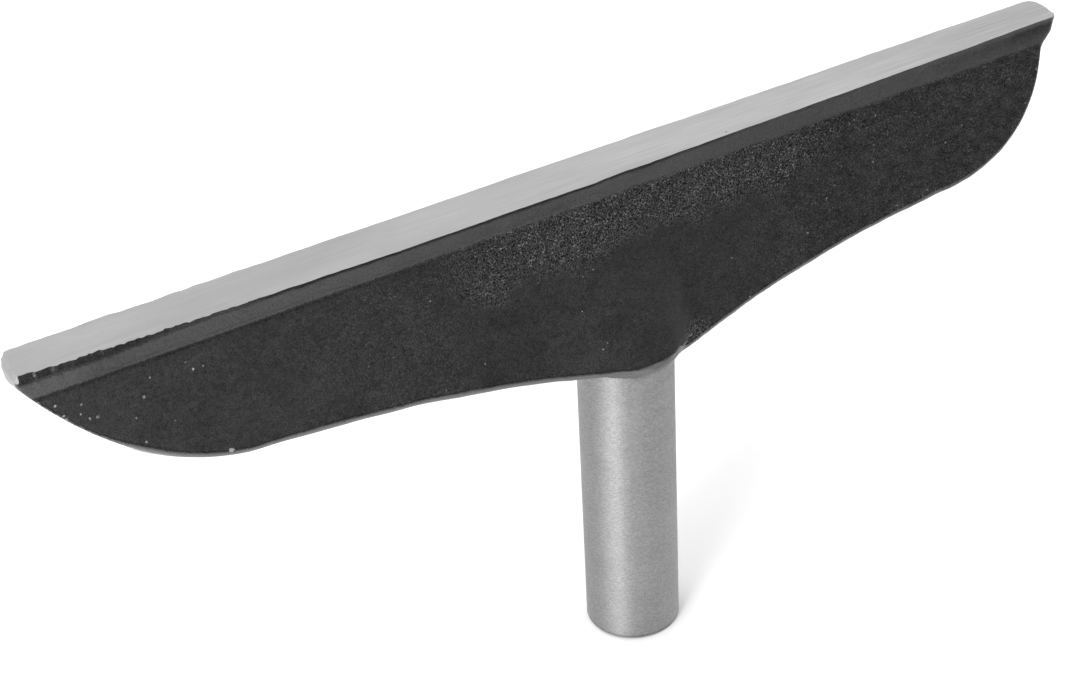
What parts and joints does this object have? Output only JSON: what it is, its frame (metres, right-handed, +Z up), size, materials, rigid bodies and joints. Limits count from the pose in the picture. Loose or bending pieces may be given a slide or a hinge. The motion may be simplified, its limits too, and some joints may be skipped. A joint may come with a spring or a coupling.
{
  "type": "wood lathe tool rest",
  "caption": "Cast blade with a ground top flat, leaning lobed web and boss, on a round turned stem that a lathe banjo clamps.",
  "frame": {"origin": "centre of the stem's foot, where the part stands on a flat surface", "axes": "+X along the working edge, +Z up the stem to the ground flat, -Y towards the turner, who faces the leaning web"},
  "size_m": [0.305, 0.0386, 0.132],
  "materials": {
    "casting_paint": "gloss black paint over a sand-cast surface, with a ground bare top flat",
    "stem_steel": "fine turned, with rings round the stem",
    "pin_steel": "dark spring steel"
  },
  "bodies": {
    "root": {"rest_casting": "casting_paint", "stem": "stem_steel", "spring_pin": "pin_steel"}
  },
  "joints": []
}
